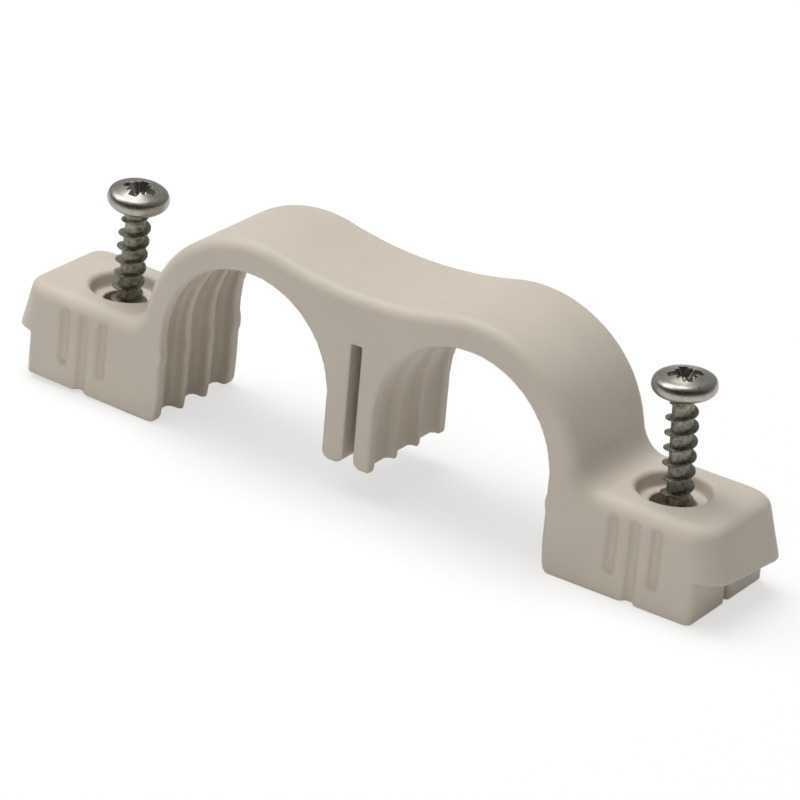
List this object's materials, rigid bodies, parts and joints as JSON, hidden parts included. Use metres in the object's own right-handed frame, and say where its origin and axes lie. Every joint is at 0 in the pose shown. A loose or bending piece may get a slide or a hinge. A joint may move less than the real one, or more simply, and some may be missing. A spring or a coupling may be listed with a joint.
{
  "type": "double pipe clip",
  "caption": "Snap-in plastic clip that holds two parallel pipes against a wall, with a pan head wood screw standing in each foot.",
  "frame": {"origin": "middle of the clip on the wall plane, under the split leg between the two pipes", "axes": "+X along the clip from one pipe to the other, +Y along the pipes, +Z away from the wall"},
  "size_m": [0.0944, 0.0152, 0.0254],
  "materials": {
    "clip_body": "satin moulded",
    "pan_head_screws": "zinc plated"
  },
  "bodies": {
    "root": {"clip_body": "clip_body", "pan_head_screws": "pan_head_screws"}
  },
  "joints": []
}
